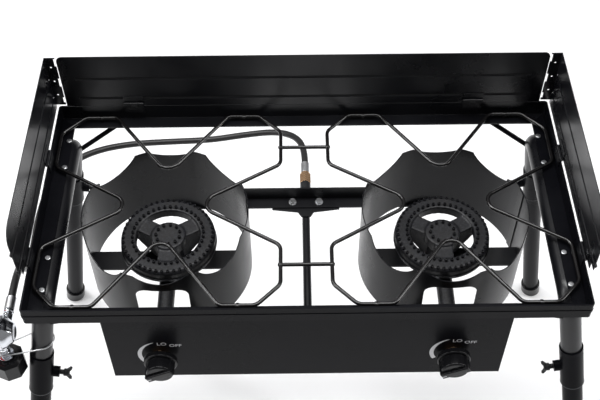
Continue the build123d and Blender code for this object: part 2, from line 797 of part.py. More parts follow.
def back_screen():
    panel = block((-back_half, back_inner, top + screen_gap),
                  (back_half, back_inner + screen_sheet, top + screen_top))
    panel = fillet(panel.edges().filter_by(Axis.Y).group_by(Axis.Z)[-1], 10)
    outer_zone = block((-back_half, back_inner, top), (back_half, back_inner + 9, top + 150))
    length = 2 * (back_half - back_bead_inset)
    for height in back_bead_heights:
        start = (-length / 2, back_inner, top + height)
        outside, hollow = pressed_bead(start, (1, 0, 0), length, screen_sheet)
        panel += outside & outer_zone
        panel -= hollow
    return Compound([panel] + [moving_leaf_back(side * back_hinges) for side in (-1, 1)])


def build_wind_screen():
    """Three panels, and the fixed hinge leaves with their pins on the top frame."""
    write("left_windscreen", side_screen(-1))
    write("right_windscreen", side_screen(1))
    write("back_windscreen", back_screen())
    fixed = []
    for side in (-1, 1):
        for y in side_hinges:
            fixed.append(fixed_leaf_side(side, y))
        fixed.append(fixed_leaf_back(side * back_hinges))
    write("screen_hinges", Compound(fixed))


def fixed_leaf_side(side, y):
    place = (side * side_axis_x, y, top + side_axis_rise)
    barrel = hinge_barrel(place, (0, 1, 0), "outer")
    inner = half_length - rail_sheet
    shelf_near = side * (inner - leaf_sheet)
    shelf_low = top + 0.2
    upright = block((min(side * inner, shelf_near), y - hinge_length / 2, top - fixed_leaf_drop),
                    (max(side * inner, shelf_near), y + hinge_length / 2, shelf_low + leaf_sheet))
    shelf_far = side * (half_length + 0.5)
    shelf = block((min(shelf_far, shelf_near), y - hinge_length / 2, shelf_low),
                  (max(shelf_far, shelf_near), y + hinge_length / 2, shelf_low + leaf_sheet))
    middle = rod((place[0], y - hinge_length / 6, place[2]), (0, 1, 0), hinge_radius + knuckle_gap,
                 hinge_length / 3)
    body = upright + (shelf - middle) + barrel
    bore = rod((place[0], y - 20, place[2]), (0, 1, 0), pin_bore, 40)
    pin = rod((place[0], y - hinge_length / 2 - 0.5, place[2]), (0, 1, 0), pin_radius, hinge_length + 1)
    head = rod((place[0], y - hinge_length / 2 - 1.1, place[2]), (0, 1, 0), 1.8, 0.6)
    return Compound((body - bore).solids() + [pin + head])


def fixed_leaf_back(x):
    place = (x, back_axis_y, top + back_axis_rise)
    barrel = hinge_barrel(place, (1, 0, 0), "outer")
    face = half_depth - rail_sheet
    lower = block((x - hinge_length / 2, back_axis_y + leaf_sheet, top - fixed_leaf_drop),
                  (x + hinge_length / 2, face, top - 0.5))
    legs = leaf(place, "x", (leaf_sheet, -1 - back_axis_rise), (hinge_radius - 0.2, 0), "outer")
    body = lower + barrel
    for piece in legs:
        body += piece
    bore = rod((x - 20, back_axis_y, place[2]), (1, 0, 0), pin_bore, 40)
    pin = rod((x - hinge_length / 2 - 0.5, back_axis_y, place[2]), (1, 0, 0), pin_radius, hinge_length + 1)
    head = rod((x - hinge_length / 2 - 1.1, back_axis_y, place[2]), (1, 0, 0), 1.8, 0.6)
    return Compound((body - bore).solids() + [pin + head])


# ---- regulator and hose ----

def lifted(place):
    return Vector(place[0], place[1], place[2] + top)


def build_regulator():
    """Two pressed halves with a rolled flange, an outlet barb, an inlet neck and a dial knob."""
    centre = lifted(regulator_place)
    inner = centre + Vector(regulator_width / 2, 0, 0)
    body = rod(inner, (-1, 0, 0), regulator_radius - 3, regulator_width)
    body = fillet(body.edges().group_by(Axis.X)[0] + body.edges().group_by(Axis.X)[-1], 6)
    body += rod(centre + Vector(-1, 0, 0), (-1, 0, 0), regulator_radius, 4)
    body += rod(centre, (0, 1, 0), neck_radius, outlet_start)
    wheel = lifted(wheel_place)
    neck_top = Vector(wheel.X, wheel.Y, centre.Z)
    body += rod(neck_top, (0, 0, -1), neck_radius, centre.Z - wheel.Z - wheel_height / 2 - 0.5)
    spindle_start = centre + Vector(-regulator_width / 2, 0, 0)
    body += rod(spindle_start + Vector(2, 0, 0), (-1, 0, 0), spindle_radius, 8)
    write("regulator_body", body)
    cap = rod(spindle_start + Vector(-1, 0, 0), (-1, 0, 0), regulator_knob_radius, 17)
    cap = fillet(cap.edges().group_by(Axis.X)[0], 3)
    for rib in range(12):
        angle = math.radians(30 * rib)
        reach = regulator_knob_radius + 1
        place = spindle_start + Vector(0, reach * math.cos(angle), reach * math.sin(angle))
        cap -= rod(place, (-1, 0, 0), 3.2, 20)
    cap -= rod(spindle_start, (-1, 0, 0), spindle_radius + turning_clearance, 7)
    write("regulator_knob", cap)
    crimp_start = centre + Vector(0, outlet_start, 0)
    write("front_crimp", rod(crimp_start, (0, 1, 0), crimp_radius, outlet_end - outlet_start))
    build_hand_wheel(wheel)


def build_hand_wheel(wheel):
    """A lobed hand nut that turns round the inlet nipple."""
    low = wheel - Vector(0, 0, wheel_height / 2)
    nut = extrude(Plane(origin=low) * RegularPolygon(wheel_radius, 8), wheel_height)
    nut = chamfer(nut.edges().group_by(Axis.Z)[-1], 4)
    nut -= rod(low - Vector(0, 0, 1), (0, 0, 1), 17, 22)
    nut -= rod(low, (0, 0, 1), nipple_radius + turning_clearance, wheel_height + 2)
    write("hand_wheel", nut)
    nipple = rod(low + Vector(0, 0, 4), (0, 0, 1), nipple_radius, wheel_height - 4)
    nipple += rod(low + Vector(0, 0, 10), (0, 0, 1), 10, 10)
    write("inlet_nipple", nipple)


def build_tie_wire():
    """A twist of wire that holds the regulator's neck to the leg."""
    z = top - tie_wire_drop
    station = (z - elbow(-1, -1).Z) / leg_direction(-1, -1).Z
    leg_centre = elbow(-1, -1) + leg_direction(-1, -1) * station
    ring_radius = tube_radius + tie_wire_radius + 0.8
    neck = lifted(wheel_place)
    near = Vector(leg_centre.X, leg_centre.Y, z)
    far = Vector(neck.X, neck.Y, z)
    belt = belt_path(near, ring_radius, far, neck_radius + tie_wire_radius + 0.3)
    tie = None
    for run in belt:
        piece = sweep(Plane(origin=run @ 0, z_dir=run % 0) * Circle(tie_wire_radius), path=run)
        tie = piece if tie is None else tie + piece
    write("tie_wire", tie)


def belt_path(near, near_radius, far, far_radius):
    """Two arcs and two straights that wrap a pair of round posts, as a belt does."""
    along = math.atan2(far.Y - near.Y, far.X - near.X)
    lean = math.acos((near_radius - far_radius) / (far - near).length)

    def rim(centre, radius, angle):
        return centre + Vector(radius * math.cos(angle), radius * math.sin(angle), 0)
    near_points = [rim(near, near_radius, along + turn) for turn in (lean, math.pi, -lean)]
    far_points = [rim(far, far_radius, along + turn) for turn in (-lean, 0, lean)]
    return (ThreePointArc(*near_points), Line(near_points[2], far_points[0]),
            ThreePointArc(*far_points), Line(far_points[2], near_points[0]))


# The hose's route hangs behind the crossbar, rounds the back left leg and rises to the regulator.
# Heights are from the top of the frame.
hose_points = (
    (3, 229, -181.75), (3, 266, -181.75), (-13, 303, -187), (-50, 328, -200), (-108, 335, -215),
    (-176, 330, -224), (-254, 326, -223), (-328, 312, -213), (-390, 286, -203), (-436, 246, -198),
    (-464, 194, -204), (-476, 140, -222), (-479, 88, -236), (-475, 44, -222),  (-467, 8, -190),
    (-458, -22, -146), (-450, -49, -102), (-446, -88, -80), (-446, -125, -80))


def build_hose():
    points = [Vector(x, y, z + top) for x, y, z in hose_points]
    radii = []
    for before, here, after in zip(points, points[1:], points[2:]):
        turn = math.radians((here - before).get_angle(after - here))
        run = min((here - before).length, (after - here).length)
        radii.append(0.45 * run / math.tan(turn / 2))
    print("hose bend radii", [round(radius) for radius in radii])
    path = FilletPolyline(*points, radius=radii)
    hose = sweep(Plane(origin=points[0], z_dir=points[1] - points[0]) * Circle(hose_radius), path=path)
    section = math.pi * hose_radius ** 2
    print("hose length", round(path.length), "volume ratio", round(hose.volume / (section * path.length), 4))
    write("gas_hose", hose)


os.makedirs("parts", exist_ok=True)
build_rails()
build_frame_screws()
build_front_panel()
bolts = build_burners()
build_cup_brackets()
build_valves()
bolts += build_pipes()
write("bracket_bolts", Compound(bolts))
build_inlet()
build_legs()
build_grates()
build_wind_screen()
build_regulator()
build_tie_wire()
build_hose()
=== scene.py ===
import json
import math
import bmesh
import bpy
from mathutils import Matrix, Vector


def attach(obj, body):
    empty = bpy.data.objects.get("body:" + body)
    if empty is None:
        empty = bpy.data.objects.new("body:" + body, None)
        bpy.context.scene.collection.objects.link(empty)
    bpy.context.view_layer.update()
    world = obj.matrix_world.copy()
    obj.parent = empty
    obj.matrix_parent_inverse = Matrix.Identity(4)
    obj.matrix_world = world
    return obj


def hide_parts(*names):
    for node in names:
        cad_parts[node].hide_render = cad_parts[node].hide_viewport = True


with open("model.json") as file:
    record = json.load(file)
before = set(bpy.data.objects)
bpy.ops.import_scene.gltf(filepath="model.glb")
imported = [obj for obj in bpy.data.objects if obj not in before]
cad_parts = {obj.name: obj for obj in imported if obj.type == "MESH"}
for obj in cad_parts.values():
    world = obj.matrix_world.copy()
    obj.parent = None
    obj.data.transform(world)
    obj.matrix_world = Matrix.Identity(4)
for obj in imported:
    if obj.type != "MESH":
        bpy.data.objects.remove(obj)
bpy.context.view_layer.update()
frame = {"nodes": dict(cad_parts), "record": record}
nodes = frame["nodes"]
bodies = frame["record"]["behaviour"]["bodies"]
bodyOf = {node: body for body, members in bodies.items() for node in members}
burnerSides = {"left": -0.218, "right": 0.218}
alongX = (1, 0, 0)


# camera, high in front and looking down on the cooking top
cameraSetting = {"place": (-0.0154, -0.9780, 1.8317), "pitch": 50.54, "yaw": -0.43, "roll": -0.29,
                 "lens": 60.09, "sensor": 36.0}


def makeCamera(setting):
    pitch = math.radians(setting["pitch"])
    yaw = math.radians(setting["yaw"])
    roll = math.radians(setting["roll"])
    forward = Vector((-math.sin(yaw) * math.cos(pitch), math.cos(yaw) * math.cos(pitch), -math.sin(pitch)))
    level = Vector((math.cos(yaw), math.sin(yaw), 0))
    rise = level.cross(forward)
    right = level * math.cos(roll) + rise * math.sin(roll)
    up = rise * math.cos(roll) - level * math.sin(roll)
    data = bpy.data.cameras.new("topCamera")
    data.lens = setting["lens"]
    data.sensor_width = setting["sensor"]
    eye = bpy.data.objects.new("topCamera", data)
    turn = Matrix((right, up, -forward)).transposed().to_4x4()
    eye.matrix_world = Matrix.Translation(setting["place"]) @ turn
    bpy.context.collection.objects.link(eye)
    bpy.context.scene.camera = eye


makeCamera(cameraSetting)
print("camera set")


# node helpers for the finishes
def newFinish(name, colour, metallic, roughness):
    material = bpy.data.materials.new(name)
    material.use_nodes = True
    tree = material.node_tree
    shader = tree.nodes["Principled BSDF"]
    shader.inputs["Base Color"].default_value = (*colour, 1)
    shader.inputs["Metallic"].default_value = metallic
    shader.inputs["Roughness"].default_value = roughness
    place = tree.nodes.new("ShaderNodeTexCoord").outputs["Object"]
    return material, tree, shader, place


def stretched(tree, place, scale):
    # object coordinates drawn out along an axis
    mapping = tree.nodes.new("ShaderNodeMapping")
    mapping.inputs["Scale"].default_value = scale
    tree.links.new(place, mapping.inputs["Vector"])
    return mapping.outputs["Vector"]


def noiseOf(tree, place, scale, detail=3.0, rough=0.5):
    noise = tree.nodes.new("ShaderNodeTexNoise")
    noise.inputs["Scale"].default_value = scale
    noise.inputs["Detail"].default_value = detail
    noise.inputs["Roughness"].default_value = rough
    tree.links.new(place, noise.inputs["Vector"])
    return noise.outputs["Fac"]


def cellsOf(tree, place, scale):
    cells = tree.nodes.new("ShaderNodeTexVoronoi")
    cells.inputs["Scale"].default_value = scale
    tree.links.new(place, cells.inputs["Vector"])
    return cells.outputs["Distance"]


def ranged(tree, value, fromLow, fromHigh, low, high):
    node = tree.nodes.new("ShaderNodeMapRange")
    node.inputs["From Min"].default_value = fromLow
    node.inputs["From Max"].default_value = fromHigh
    node.inputs["To Min"].default_value = low
    node.inputs["To Max"].default_value = high
    tree.links.new(value, node.inputs["Value"])
    return node.outputs["Result"]


def mixedColour(tree, factor, first, second):
    # two colours, or a colour output and a colour, mixed by a factor output
    node = tree.nodes.new("ShaderNodeMix")
    node.data_type = "RGBA"
    tree.links.new(factor, node.inputs[0])
    for socket, colour in ((node.inputs[6], first), (node.inputs[7], second)):
        if isinstance(colour, tuple):
            socket.default_value = (*colour, 1)
        else:
            tree.links.new(colour, socket)
    return node.outputs[2]


def addBump(tree, shader, heights):
    # bump layers, each (height output, depth in metres, strength)
    normal = None
    for height, depth, strength in heights:
        bump = tree.nodes.new("ShaderNodeBump")
        bump.inputs["Distance"].default_value = depth
        bump.inputs["Strength"].default_value = strength
        tree.links.new(height, bump.inputs["Height"])
        if normal is not None:
            tree.links.new(normal, bump.inputs["Normal"])
        normal = bump.outputs["Normal"]
    tree.links.new(normal, shader.inputs["Normal"])


# finishes
noiseMiddle = (0.3, 0.7)  # the band that a noise pattern's values mostly lie in
powderSetting = {"colour": (0.0030, 0.0031, 0.0042), "worn": (0.0065, 0.0067, 0.0086),
                 "dust": (0.08, 0.08, 0.085), "smooth": 0.24, "rough": 0.36, "peel": 620.0,
                 "peelDepth": 0.00005, "peelStrength": 0.35, "patches": 7.0, "specks": 130.0,
                 "speckSize": (0.035, 0.06), "speckAreas": 31.0, "speckShare": (0.62, 0.66),
                 "speckStrength": 0.55}
powderGloss = {"frame": 0.06, "leg": 0.04, "tube": 0.40, "panel": 0.05, "cup": 0.18, "screen": 0.42}


def makePowder(name, setting, specular):
    # powder coat: orange peel, uneven gloss and a few specks of dust
    material, tree, shader, place = newFinish(name, setting["colour"], 0.0, setting["smooth"])
    shader.inputs["Specular IOR Level"].default_value = specular
    patches = noiseOf(tree, place, setting["patches"], 5.0, 0.6)
    peel = noiseOf(tree, place, setting["peel"], 2.0)
    specks = ranged(tree, cellsOf(tree, place, setting["specks"]), *setting["speckSize"], 1.0, 0.0)
    few = ranged(tree, noiseOf(tree, place, setting["speckAreas"], 2.0), *setting["speckShare"],
                 0.0, setting["speckStrength"])
    both = tree.nodes.new("ShaderNodeMath")
    both.operation = "MULTIPLY"
    tree.links.new(specks, both.inputs[0])
    tree.links.new(few, both.inputs[1])
    base = mixedColour(tree, ranged(tree, patches, 0.35, 0.7, 0.0, 1.0), setting["colour"], setting["worn"])
    tree.links.new(mixedColour(tree, both.outputs[0], base, setting["dust"]), shader.inputs["Base Color"])
    tree.links.new(ranged(tree, patches, *noiseMiddle, setting["smooth"], setting["rough"]),
                   shader.inputs["Roughness"])
    addBump(tree, shader, ((peel, setting["peelDepth"], setting["peelStrength"]),))
    return material


enamelSetting = {"colour": (0.003, 0.003, 0.0035), "heat": (0.009, 0.008, 0.008), "smooth": 0.12,
                 "rough": 0.24, "patches": 14.0, "texture": 500.0, "depth": 0.00004, "strength": 0.3}


def makeEnamel(name, setting):
    # gloss enamel on wire, a little duller where it has been hot
    material, tree, shader, place = newFinish(name, setting["colour"], 0.0, setting["smooth"])
    patches = noiseOf(tree, place, setting["patches"], 4.0)
    fine = noiseOf(tree, place, setting["texture"], 2.0)
    tree.links.new(mixedColour(tree, patches, setting["colour"], setting["heat"]), shader.inputs["Base Color"])
    tree.links.new(ranged(tree, patches, *noiseMiddle, setting["smooth"], setting["rough"]),
                   shader.inputs["Roughness"])
    addBump(tree, shader, ((fine, setting["depth"], setting["strength"]),))
    return material


ironSetting = {"colour": (0.006, 0.006, 0.007), "worn": (0.024, 0.025, 0.030), "scorched": (0.02, 0.018, 0.017),
               "grain": 330.0, "grainBump": (0.0006, 0.55), "pits": 900.0, "pitBump": (0.0002, 0.25),
               "patches": 22.0, "smooth": 0.30, "rough": 0.55, "specular": 0.28}
jetSetting = dict(ironSetting, colour=(0.004, 0.004, 0.005), smooth=0.16, rough=0.30, specular=0.5)


def makeIron(name, setting):
    # sand-cast iron, blackened: coarse sand grain over finer pits
    material, tree, shader, place = newFinish(name, setting["colour"], 0.0, setting["rough"])
    shader.inputs["Specular IOR Level"].default_value = setting["specular"]
    grain = noiseOf(tree, place, setting["grain"], 4.0, 0.65)
    pits = cellsOf(tree, place, setting["pits"])
    patches = noiseOf(tree, place, setting["patches"], 4.0)
    tone = mixedColour(tree, ranged(tree, grain, 0.45, 0.72, 0.0, 1.0), setting["colour"], setting["worn"])
    tree.links.new(mixedColour(tree, ranged(tree, patches, 0.5, 0.75, 0.0, 0.5), tone, setting["scorched"]),
                   shader.inputs["Base Color"])
    tree.links.new(ranged(tree, grain, *noiseMiddle, setting["rough"], setting["smooth"]),
                   shader.inputs["Roughness"])
    addBump(tree, shader, ((grain, *setting["grainBump"]), (pits, *setting["pitBump"])))
    return material


metalPattern = {"marks": 90.0, "patches": 60.0, "depth": 0.00005}
plasticPattern = {"patches": 35.0, "strength": 0.35}


def makeMetal(name, setting):
    # bare or plated metal, with drawn-out polishing marks
    material, tree, shader, place = newFinish(name, setting["colour"], 1.0, setting["smooth"])
    marks = noiseOf(tree, stretched(tree, place, setting["marks"]), metalPattern["marks"], 4.0, 0.6)
    patches = noiseOf(tree, place, metalPattern["patches"], 4.0)
    tree.links.new(mixedColour(tree, ranged(tree, patches, 0.4, 0.75, 0.0, 1.0), setting["colour"],
                               setting["worn"]), shader.inputs["Base Color"])
    tree.links.new(ranged(tree, marks, *noiseMiddle, setting["smooth"], setting["rough"]),
                   shader.inputs["Roughness"])
    addBump(tree, shader, ((marks, metalPattern["depth"], setting["relief"]),))
    return material


zincSetting = {"colour": (0.60, 0.61, 0.63), "worn": (0.42, 0.42, 0.42), "smooth": 0.24, "rough": 0.42,
               "marks": (1.0, 1.0, 6.0), "relief": 0.4}
chromeSetting = {"colour": (0.72, 0.74, 0.78), "worn": (0.60, 0.62, 0.66), "smooth": 0.07, "rough": 0.16,
                 "marks": (3.0, 1.0, 1.0), "relief": 0.15}
brassSetting = {"colour": (0.78, 0.50, 0.30), "worn": (0.62, 0.40, 0.24), "smooth": 0.18, "rough": 0.34,
                "marks": (1.0, 8.0, 1.0), "relief": 0.4}
darkSteelSetting = {"colour": (0.060, 0.062, 0.066), "worn": (0.11, 0.11, 0.112), "smooth": 0.30, "rough": 0.46,
                    "marks": (1.0, 5.0, 1.0), "relief": 0.4}


def makePlastic(name, setting):
    # moulded plastic or rubber: fine moulded texture and uneven sheen
    material, tree, shader, place = newFinish(name, setting["colour"], 0.0, setting["smooth"])
    shader.inputs["Specular IOR Level"].default_value = setting["specular"]
    patches = noiseOf(tree, place, plasticPattern["patches"], 4.0)
    texture = noiseOf(tree, place, setting["texture"], 3.0)
    tree.links.new(mixedColour(tree, patches, setting["colour"], setting["worn"]), shader.inputs["Base Color"])
    tree.links.new(ranged(tree, patches, *noiseMiddle, setting["smooth"], setting["rough"]),
                   shader.inputs["Roughness"])
    addBump(tree, shader, ((texture, setting["depth"], plasticPattern["strength"]),))
    return material


blackPlasticSetting = {"colour": (0.004, 0.004, 0.005), "worn": (0.008, 0.008, 0.009), "smooth": 0.16,
                       "rough": 0.28, "specular": 0.2, "texture": 900.0, "depth": 0.00004}
redPlasticSetting = {"colour": (0.55, 0.010, 0.012), "worn": (0.42, 0.008, 0.010), "smooth": 0.18,
                     "rough": 0.30, "specular": 0.5, "texture": 900.0, "depth": 0.00004}
rubberSetting = {"colour": (0.010, 0.010, 0.011), "worn": (0.022, 0.021, 0.021), "smooth": 0.30,
                 "rough": 0.46, "specular": 0.4, "texture": 700.0, "depth": 0.00008}
inkSetting = {"colour": (0.80, 0.80, 0.82), "worn": (0.62, 0.62, 0.64), "smooth": 0.40,
              "rough": 0.55, "specular": 0.4, "texture": 1200.0, "depth": 0.00002}

framePowder = makePowder("framePowderCoat", powderSetting, powderGloss["frame"])
legPowder = makePowder("legPowderCoat", powderSetting, powderGloss["leg"])
tubePowder = makePowder("tubePowderCoat", powderSetting, powderGloss["tube"])
panelPowder = makePowder("panelPowderCoat", powderSetting, powderGloss["panel"])
cupPowder = makePowder("cupPowderCoat", powderSetting, powderGloss["cup"])
screenPowder = makePowder("screenPowderCoat", powderSetting, powderGloss["screen"])
wireEnamel = makeEnamel("grateEnamel", enamelSetting)
castIron = makeIron("burnerIron", ironSetting)
jetIron = makeIron("jetIron", jetSetting)
zincPlate = makeMetal("zincPlate", zincSetting)
chromePlate = makeMetal("chromePlate", chromeSetting)
turnedBrass = makeMetal("turnedBrass", brassSetting)
darkSteel = makeMetal("darkSteel", darkSteelSetting)
blackPlastic = makePlastic("blackPlastic", blackPlasticSetting)
redPlastic = makePlastic("redPlastic", redPlasticSetting)
hoseRubber = makePlastic("hoseRubber", rubberSetting)
dialInk = makePlastic("dialInk", inkSetting)
print("finishes made")


# gas hose, hung from the rear crimp, round the back left leg and up to the regulator
hoseSetting = {
    "radius": 0.006, "length": 0.983, "exit": (0.003, 0.229, 0.46825), "roundness": 5, "pointsPerSpan": 10,
    "points": (
        (0.003, 0.229, 0.46825), (0.003, 0.266, 0.46825), (-0.013, 0.303, 0.463), (-0.050, 0.328, 0.450),
        (-0.108, 0.335, 0.435), (-0.176, 0.330, 0.426), (-0.254, 0.326, 0.427), (-0.328, 0.312, 0.437),
        (-0.390, 0.286, 0.447), (-0.436, 0.246, 0.452), (-0.464, 0.194, 0.446), (-0.476, 0.140, 0.428),
        (-0.479, 0.088, 0.414), (-0.475, 0.044, 0.428), (-0.467, 0.008, 0.460), (-0.458, -0.022, 0.504),
        (-0.450, -0.049, 0.548), (-0.446, -0.088, 0.570), (-0.446, -0.125, 0.570))}


def makeHose(setting):
    curve = bpy.data.curves.new("gasHoseLine", "CURVE")
    curve.dimensions = "3D"
    curve.bevel_depth = setting["radius"]
    curve.bevel_resolution = setting["roundness"]
    curve.resolution_u = setting["pointsPerSpan"]
    curve.use_fill_caps = True
    line = curve.splines.new("NURBS")
    line.points.add(len(setting["points"]) - 1)
    for point, place in zip(line.points, setting["points"]):
        point.co = (*place, 1)
    line.order_u = 3
    line.use_endpoint_u = True
    curve.materials.append(hoseRubber)
    hose = bpy.data.objects.new("hangingGasHose", curve)
    bpy.context.collection.objects.link(hose)
    return hose


hose = makeHose(hoseSetting)
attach(hose, "stove")
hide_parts("gas_hose")
print("hose laid")


# shared shaping tools
weldGap = {"turned": 0.000001, "copied": 0.000002}  # corners nearer than this are joined


def spun(profile, steps):
    # a closed turned shape about Z from (radius, height) points, in metres
    mesh = bmesh.new()
    points = [mesh.verts.new((radius, 0, height)) for radius, height in profile]
    edges = [mesh.edges.new(pair) for pair in zip(points, points[1:])]
    bmesh.ops.spin(mesh, geom=points + edges, cent=(0, 0, 0), axis=(0, 0, 1), angle=2 * math.pi,
                   steps=steps, use_merge=True, dvec=(0, 0, 0))
    bmesh.ops.remove_doubles(mesh, verts=mesh.verts, dist=weldGap["turned"])
    bmesh.ops.recalc_face_normals(mesh, faces=mesh.faces)
    return mesh


def placed(mesh, origin, direction=(0, 0, 1), across=None):
    # turns a bmesh so that its Z follows direction, and moves it to origin
    z = Vector(direction).normalized()
    x = Vector(across) if across else z.orthogonal()
    x = (x - z * x.dot(z)).normalized()
    turn = Matrix((x, z.cross(x), z)).transposed().to_4x4()
    bmesh.ops.transform(mesh, matrix=Matrix.Translation(origin) @ turn, verts=mesh.verts)
    return mesh


def joined(meshes):
    # one bmesh from several
    whole = bmesh.new()
    for mesh in meshes:
        holder = bpy.data.meshes.new("holder")
        mesh.to_mesh(holder)
        whole.from_mesh(holder)
        bpy.data.meshes.remove(holder)
        mesh.free()
    return whole


def mergedCopy(nodeName):
    # a CAD node's mesh as a bmesh, its loose triangles merged into clean faces
    mesh = bmesh.new()
    mesh.from_mesh(nodes[nodeName].data)
    bmesh.ops.remove_doubles(mesh, verts=mesh.verts, dist=weldGap["copied"])
    bmesh.ops.dissolve_degenerate(mesh, dist=weldGap["copied"], edges=mesh.edges)
    bmesh.ops.dissolve_limit(mesh, angle_limit=math.radians(0.6), verts=mesh.verts, edges=mesh.edges)
    return mesh


def pieceOf(name, mesh, body, material, replaced=(), edge=0.0, sharp=34.0):
    # an object from a bmesh, shaded, with its edges softened, riding on its body
    data = bpy.data.meshes.new(name)
    mesh.to_mesh(data)
    mesh.free()
    if "custom_normal" in data.attributes:
        data.attributes.remove(data.attributes["custom_normal"])
    data.materials.clear()
    data.materials.append(material)
    data.shade_smooth()
    data.set_sharp_from_angle(angle=math.radians(sharp))
    piece = bpy.data.objects.new(name, data)
    bpy.context.collection.objects.link(piece)
    if edge > 0:
        bevel = piece.modifiers.new("softEdges", "BEVEL")
        bevel.width = edge
        bevel.segments = 2
        bevel.limit_method = "ANGLE"
        bevel.angle_limit = math.radians(sharp)
        bevel.harden_normals = True
    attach(piece, body)
    if replaced:
        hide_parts(*replaced)
    return piece


def camel(nodeName):
    first, *rest = nodeName.split("_")
    return first + "".join(word.capitalize() for word in rest) + "Finished"


# pieces whose shape is taken from the frame as it is, with softened edges
softened = (
    {"nodes": ("front_rail", "left_rail", "right_rail"), "material": framePowder, "slot": "frame_paint",
     "edge": 0.0006},
    {"nodes": ("back_rail",), "material": screenPowder, "slot": "frame_paint", "edge": 0.0006},
    {"nodes": ("left_side_tube", "right_side_tube"), "material": tubePowder, "slot": "frame_paint",
     "edge": 0.0003},
    {"nodes": ("leg_sockets", "leg_braces", "front_left_leg", "front_right_leg", "back_left_leg",
               "back_right_leg"), "material": legPowder, "slot": "frame_paint", "edge": 0.0003},
    {"nodes": ("crossbar", "tee_plate", "cup_brackets", "burner_straps", "screen_hinges", "gas_manifold",
               "supply_pipe"), "material": tubePowder, "slot": "frame_paint", "edge": 0.0003},
    {"nodes": ("front_panel",), "material": panelPowder, "slot": "panel_paint", "edge": 0.0006},
    {"nodes": ("left_wind_cup", "right_wind_cup"), "material": cupPowder, "slot": "panel_paint",
     "edge": 0.0004},
    {"nodes": ("left_windscreen", "right_windscreen", "back_windscreen"), "material": screenPowder,
     "slot": "panel_paint", "edge": 0.0004},
    {"nodes": ("left_grate", "right_grate", "grate_links"), "material": wireEnamel, "slot": "grate_enamel",
     "edge": 0.0},
    {"nodes": ("frame_screws", "bracket_bolts", "inlet_nipple", "left_stem", "right_stem"),
     "material": zincPlate, "slot": "zinc", "edge": 0.0003},
    {"nodes": ("rear_crimp", "front_crimp", "tie_wire"), "material": zincPlate, "slot": "zinc", "edge": 0.0003},
    {"nodes": ("pipe_coupling", "left_air_shutter", "right_air_shutter"), "material": darkSteel,
     "slot": "dark_steel", "edge": 0.0003},
    {"nodes": ("flare_nut", "left_valve", "right_valve", "valve_nuts", "gas_jets"), "material": turnedBrass,
     "slot": "brass", "edge": 0.0003},
    {"nodes": ("left_knob", "right_knob", "hand_wheel", "front_left_foot", "front_right_foot",
               "back_left_foot", "back_right_foot"), "material": blackPlastic, "slot": "black_plastic",
     "edge": 0.0005},
    {"nodes": ("regulator_knob",), "material": redPlastic, "slot": "red_plastic", "edge": 0.0005},
)
for group in softened:
    for nodeName in group["nodes"]:
        pieceOf(camel(nodeName), mergedCopy(nodeName), bodyOf[nodeName], group["material"],
                replaced=(nodeName,), edge=group["edge"])
print("frame pieces softened")


# burner heads: the frame's casting with a turned ring, melted together, and rows of jet tubes
burnerSetting = {
    "back": -0.008, "top": 0.569, "ringSteps": 96,
    "ring": ((0.051, -0.017), (0.051, -0.0015), (0.0525, 0), (0.065, 0), (0.0665, -0.0008), (0.074, -0.005),
             (0.075, -0.0065), (0.075, -0.017), (0.055, -0.017)),
    "lip": ((0.060, -0.0200), (0.0765, -0.0200), (0.0766, -0.0192), (0.0762, -0.0160), (0.0740, -0.0154),
            (0.060, -0.0154)),
    "grain": 0.0013, "softening": (0.5, 4),
    "jet": ((0, 0.0012), (0.0014, 0.0012), (0.0014, 0.0050), (0.0022, 0.0050), (0.0026, 0.0044),
            (0.0027, -0.0030), (0, -0.0030)),
    "jetSteps": 9,
    "rows": ((48, 0.0706, -0.0024), (38, 0.0562, 0), (11, 0.0190, 0))}


def turnedRing(profile, steps):
    return spun(profile + (profile[0],), steps)


def meltedMesh(mesh, grain, softening):
    data = bpy.data.meshes.new("meltHolder")
    mesh.to_mesh(data)
    mesh.free()
    holder = bpy.data.objects.new("meltHolder", data)
    bpy.context.collection.objects.link(holder)
    melt = holder.modifiers.new("melt", "REMESH")
    melt.mode = "VOXEL"
    melt.voxel_size = grain
    soft = holder.modifiers.new("soft", "SMOOTH")
    soft.factor, soft.iterations = softening
    result = bmesh.new()
    result.from_object(holder, bpy.context.evaluated_depsgraph_get())
    bpy.data.objects.remove(holder)
    bpy.data.meshes.remove(data)
    return result


def makeBurner(name, x, setting):
    node = name + "_burner"
    centre = Vector((x, setting["back"], setting["top"]))
    ring = placed(turnedRing(setting["ring"], setting["ringSteps"]), centre, across=alongX)
    casting = joined([mergedCopy(node), ring])
    bmesh.ops.triangulate(casting, faces=casting.faces)
    melted = meltedMesh(casting, setting["grain"], setting["softening"])
    pieceOf(name + "BurnerCasting", melted, bodyOf[node], castIron, replaced=(node,), sharp=60.0)
    lip = placed(turnedRing(setting["lip"], setting["ringSteps"]), centre, across=alongX)
    pieceOf(name + "BurnerLip", lip, bodyOf[node], darkSteel)
    jets = []
    for count, radius, drop in setting["rows"]:
        for step in range(count):
            angle = 2 * math.pi * (step + 0.5) / count
            spot = centre + Vector((radius * math.cos(angle), radius * math.sin(angle), drop))
            jets.append(placed(spun(setting["jet"], setting["jetSteps"]), spot, across=alongX))
    pieceOf(name + "BurnerJets", joined(jets), bodyOf[node], jetIron, sharp=40.0)


for name, x in burnerSides.items():
    makeBurner(name, x, burnerSetting)
print("burners cast")


